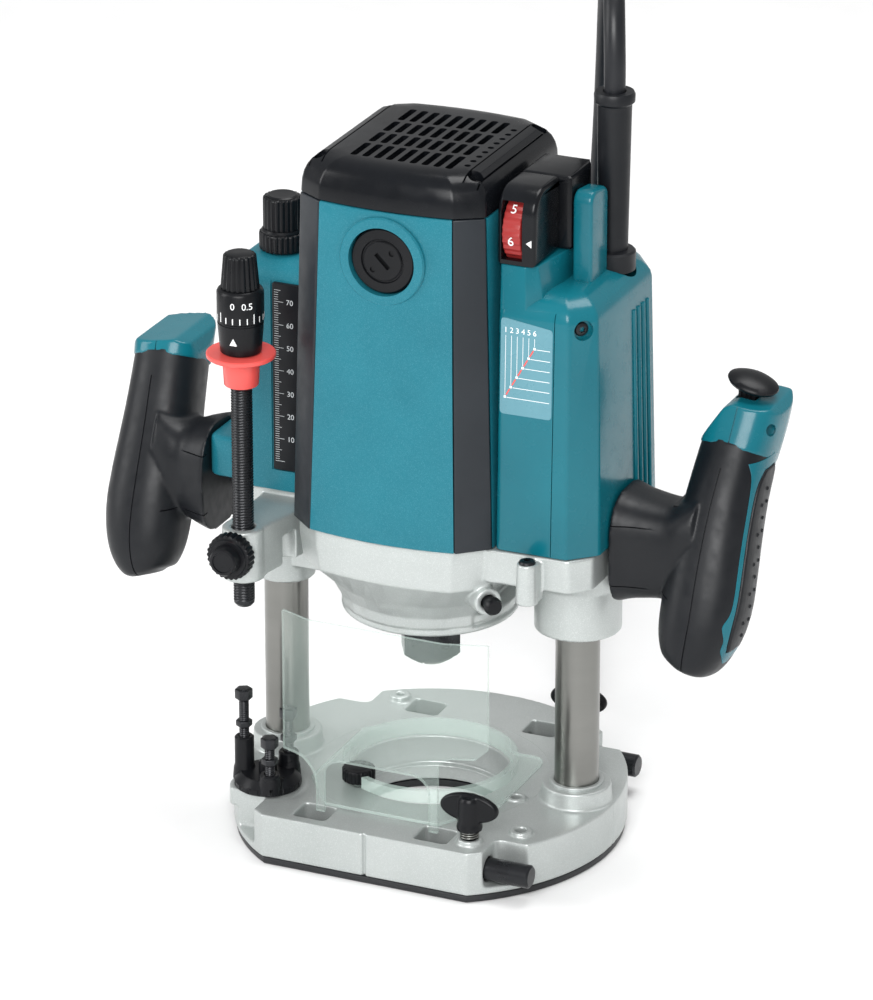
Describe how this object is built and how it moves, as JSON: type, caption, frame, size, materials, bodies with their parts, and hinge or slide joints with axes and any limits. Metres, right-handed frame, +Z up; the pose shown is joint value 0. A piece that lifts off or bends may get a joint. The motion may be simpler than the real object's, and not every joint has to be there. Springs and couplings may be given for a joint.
{
  "type": "plunge router",
  "caption": "Plunge router: round base with two columns, sprung motor head, side handles, depth rod and stop turret, clear chip shield and coiled mains cord.",
  "frame": {"origin": "on the table under the centre of the router's bounding box without its cord; the cutter axis is 6.25 mm in front of it", "axes": "+Z up along the cutter axis, +X towards the handle with the switch, +Y away from the operator's side with the depth rod"},
  "size_m": [0.2965, 0.4099, 0.3852],
  "materials": {
    "teal_plastic": "fine metallic fleck, satin gloss",
    "black_plastic": "satin moulded",
    "grip_rubber": "smooth matte elastomer",
    "red_plastic": "satin",
    "casting": "silver painted die casting",
    "ground_steel": "ground and polished",
    "dark_steel": "blackened",
    "laminated_steel": "laminations",
    "copper": "machined",
    "carbon": "pressed carbon",
    "clear_plastic": "clear polycarbonate",
    "circuit_board": "solder mask",
    "black_steel": "black oxide"
  },
  "bodies": {
    "base": {"sole_plate": "black_plastic", "base_casting": "casting", "column_left": "ground_steel", "column_right": "ground_steel", "column_spring_left": "ground_steel", "column_spring_right": "ground_steel", "travel_limit_stud": "ground_steel", "chip_deflector_collar": "clear_plastic", "chip_shield": "clear_plastic", "cord_lead": "grip_rubber", "cord_coil": "grip_rubber", "cord_tail": "grip_rubber", "cord_plug": "grip_rubber"},
    "head": {"head_casting": "casting", "motor_housing": "teal_plastic", "corner_strip_left": "black_plastic", "corner_strip_right": "black_plastic", "top_cover": "black_plastic", "left_column_housing": "teal_plastic", "depth_scale": "black_plastic", "right_housing": "teal_plastic", "speed_dial_hood": "black_plastic", "controller_board": "circuit_board", "stator": "laminated_steel", "lower_bearing": "ground_steel", "upper_bearing": "ground_steel", "brush_cap_front": "black_plastic", "brush_cap_rear": "black_plastic", "carbon_brush_front": "carbon", "carbon_brush_rear": "carbon", "handle_left": "grip_rubber", "handle_cap_left": "teal_plastic", "handle_right": "grip_rubber", "handle_cap_right": "teal_plastic", "switch_block": "black_plastic", "cord_guard": "grip_rubber"},
    "spindle": {"spindle_shaft": "ground_steel", "collet_nut": "dark_steel", "armature_core": "laminated_steel", "commutator": "copper", "cooling_fan": "black_plastic"},
    "turret": {"stop_turret": "black_plastic"},
    "stop_high": {"stop_bolt_high": "black_steel"},
    "stop_middle": {"stop_bolt_middle": "black_steel"},
    "stop_low": {"stop_bolt_low": "black_steel"},
    "depth_rod": {"depth_rod": "black_steel"},
    "fine_knob": {"fine_adjust_knob": "black_plastic"},
    "pointer": {"depth_pointer": "red_plastic"},
    "rod_clamp": {"rod_clamp_knob": "black_plastic"},
    "limit_knob": {"travel_limit_knob": "black_plastic"},
    "speed_wheel": {"speed_dial": "red_plastic"},
    "lock_pin": {"spindle_lock_pin": "black_plastic"},
    "wing_front": {"wing_screw_front": "black_plastic"},
    "wing_rear": {"wing_screw_rear": "black_plastic"},
    "guide_front": {"guide_rod_front": "black_steel"},
    "guide_rear": {"guide_rod_rear": "black_steel"},
    "shield_screw": {"deflector_screw": "black_plastic"},
    "trigger": {"switch_trigger": "grip_rubber"},
    "lock_off": {"lock_off_lever": "black_plastic"},
    "plunge_lock": {"plunge_lock_lever": "black_plastic"}
  },
  "joints": [
    {"name": "plunge", "type": "slide", "parent": "base", "child": "head", "axis": [0, 0, -1], "range_m": [0, 0.07], "stiffness_N_per_m": 600, "springref_m": -0.12, "deforming": ["column_spring_left", "column_spring_right"]},
    {"name": "spindle_spin", "type": "hinge", "parent": "head", "child": "spindle", "pos_m": [0, -0.00625, 0.115], "axis": [0, 0, 1], "continuous": true},
    {"name": "turret_turn", "type": "hinge", "parent": "base", "child": "turret", "pos_m": [-0.058, -0.04785, 0.028], "axis": [0, 0, 1], "continuous": true},
    {"name": "stop_high_height", "type": "slide", "parent": "turret", "child": "stop_high", "axis": [0, 0, 1], "range_m": [-0.004, 0.004]},
    {"name": "stop_middle_height", "type": "slide", "parent": "turret", "child": "stop_middle", "axis": [0, 0, 1], "range_m": [-0.004, 0.003]},
    {"name": "stop_low_height", "type": "slide", "parent": "turret", "child": "stop_low", "axis": [0, 0, 1], "range_m": [-0.004, 0.003]},
    {"name": "depth_rod_slide", "type": "slide", "parent": "head", "child": "depth_rod", "axis": [0, 0, 1], "range_m": [-0.04, 0.02]},
    {"name": "fine_adjust_turn", "type": "hinge", "parent": "depth_rod", "child": "fine_knob", "pos_m": [-0.0635, -0.05738, 0.24], "axis": [0, 0, 1], "range_deg": [-360, 360]},
    {"name": "pointer_slide", "type": "slide", "parent": "depth_rod", "child": "pointer", "axis": [0, 0, 1], "range_m": [-0.02, 0]},
    {"name": "rod_clamp_turn", "type": "hinge", "parent": "head", "child": "rod_clamp", "pos_m": [-0.0635, -0.07125, 0.137], "axis": [0, -1, 0], "range_deg": [-180, 90]},
    {"name": "travel_limit_turn", "type": "hinge", "parent": "base", "child": "limit_knob", "pos_m": [-0.068, -0.00625, 0.262], "axis": [0, 0, 1], "range_deg": [-360, 360]},
    {"name": "speed_dial_turn", "type": "hinge", "parent": "head", "child": "speed_wheel", "pos_m": [0.051, -0.02625, 0.287], "axis": [1, 0, 0], "range_deg": [-250, 0]},
    {"name": "spindle_lock_press", "type": "slide", "parent": "head", "child": "lock_pin", "axis": [-0.7431, 0.6691, 0], "range_m": [0, 0.003], "stiffness_N_per_m": 500, "springref_m": -0.003},
    {"name": "wing_front_turn", "type": "hinge", "parent": "base", "child": "wing_front", "pos_m": [0.0442, -0.06605, 0.03], "axis": [0, 0, 1], "range_deg": [-360, 0]},
    {"name": "guide_front_slide", "type": "slide", "parent": "base", "child": "guide_front", "axis": [1, 0, 0], "range_m": [-0.012, 0.06]},
    {"name": "wing_rear_turn", "type": "hinge", "parent": "base", "child": "wing_rear", "pos_m": [0.0442, 0.05355, 0.03], "axis": [0, 0, 1], "range_deg": [-360, 0]},
    {"name": "guide_rear_slide", "type": "slide", "parent": "base", "child": "guide_rear", "axis": [1, 0, 0], "range_m": [-0.012, 0.06]},
    {"name": "shield_screw_turn", "type": "hinge", "parent": "base", "child": "shield_screw", "pos_m": [-0.022, -0.03285, 0.028], "axis": [0, 0, 1], "range_deg": [-360, 0]},
    {"name": "trigger_squeeze", "type": "hinge", "parent": "head", "child": "trigger", "pos_m": [0.141, 0.01125, 0.183], "axis": [0, 0.9045, -0.4264], "range_deg": [0, 3.2], "stiffness_Nm_per_rad": 0.6, "springref_deg": -6.88},
    {"name": "lock_off_rock", "type": "hinge", "parent": "head", "child": "lock_off", "pos_m": [0.131, 0.02375, 0.204], "axis": [0, 1, 0], "range_deg": [-12, 0]},
    {"name": "plunge_lock_turn", "type": "hinge", "parent": "head", "child": "plunge_lock", "pos_m": [-0.068, 0.02175, 0.132], "axis": [0, 1, 0], "range_deg": [0, 50]}
  ]
}
